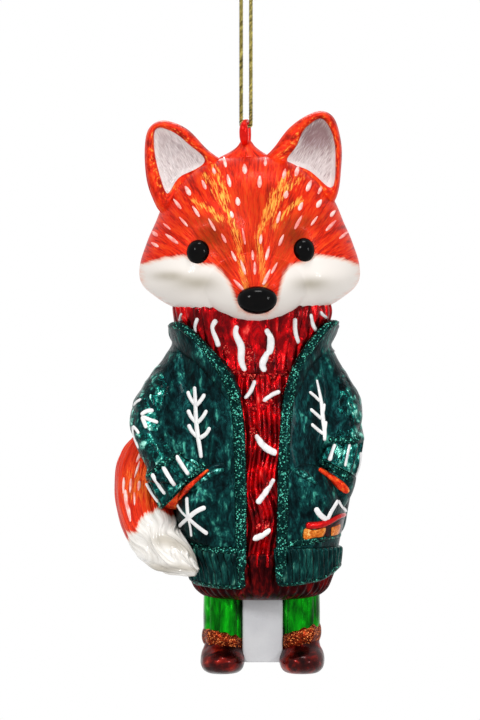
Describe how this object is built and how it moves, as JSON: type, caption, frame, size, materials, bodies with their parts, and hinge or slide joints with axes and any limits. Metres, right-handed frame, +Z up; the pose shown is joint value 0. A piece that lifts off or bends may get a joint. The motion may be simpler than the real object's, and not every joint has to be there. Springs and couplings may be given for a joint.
{
  "type": "hanging glass ornament",
  "caption": "Hollow glass fox in a winter jacket, turtleneck and boots, hung by its crown eyelet on a knotted gold cord loop.",
  "frame": {"origin": "hanging point: the underside of the knot, midway between the two legs of the cord", "axes": "+Z up along the hanging cord, -Y the way the fox faces, +X to the right as seen from the front"},
  "size_m": [0.0601, 0.0388, 0.1755],
  "materials": {
    "gold_cord": "twisted metallic thread",
    "red_glass": "translucent red lacquer on silvered glass",
    "fox_orange": "orange-red lacquer on silvered glass, brushed fur",
    "pearl_white": "pearl white enamel",
    "black_enamel": "gloss black enamel",
    "sweater_red": "red lacquer on silvered glass, ribbed",
    "red_glitter": "red glitter",
    "hem_red": "dark red lacquer, ribbed",
    "jacket_green": "dark teal lacquer on silvered glass, mottled",
    "green_glitter": "green glitter",
    "patch_orange": "orange and red lacquer",
    "trouser_green": "bright green lacquer on silvered glass, ribbed",
    "web_grey": "matt pale grey enamel",
    "copper_glitter": "copper glitter",
    "boot_brown": "dark red-brown lacquer"
  },
  "bodies": {
    "knot": {"cord_knot": "gold_cord"},
    "cord": {"hanging_cord": "gold_cord"},
    "fox": {"back_hem_band": "jacket_green", "crown_boss": "red_glass", "face_mask": "pearl_white", "hanger_eyelet": "red_glass", "head_shell": "fox_orange", "jacket_back": "jacket_green", "jacket_collar": "jacket_green", "jacket_left_front": "jacket_green", "jacket_right_front": "jacket_green", "left_boot": "boot_brown", "left_boot_cuff": "copper_glitter", "left_cuff": "jacket_green", "left_ear": "fox_orange", "left_ear_lining": "pearl_white", "left_eye": "black_enamel", "left_hem_band": "jacket_green", "left_lapel": "jacket_green", "left_paw": "fox_orange", "left_placket": "green_glitter", "left_pocket": "jacket_green", "left_sleeve": "jacket_green", "left_trouser": "trouser_green", "leg_web": "web_grey", "nose": "black_enamel", "right_boot": "boot_brown", "right_boot_cuff": "copper_glitter", "right_cuff": "jacket_green", "right_ear": "fox_orange", "right_ear_lining": "pearl_white", "right_eye": "black_enamel", "right_hem_band": "jacket_green", "right_lapel": "jacket_green", "right_paw": "fox_orange", "right_placket": "green_glitter", "right_pocket": "jacket_green", "right_pocket_patch": "patch_orange", "right_sleeve": "jacket_green", "right_trouser": "trouser_green", "sweater_front": "sweater_red", "sweater_hem": "hem_red", "tail_brush": "fox_orange", "tail_tip": "pearl_white", "turtleneck": "sweater_red", "turtleneck_fold": "red_glitter"}
  },
  "joints": [
    {"name": "loop_swing", "type": "hinge", "parent": "knot", "child": "cord", "pos_m": [0, 0, 0.0015], "axis": [0.9703, -0.2419, 0], "range_deg": [-60, 60]},
    {"name": "eyelet_sway", "type": "hinge", "parent": "cord", "child": "fox", "pos_m": [0, 0, -0.0348], "axis": [0.2419, 0.9703, 0], "range_deg": [-60, 60]}
  ]
}
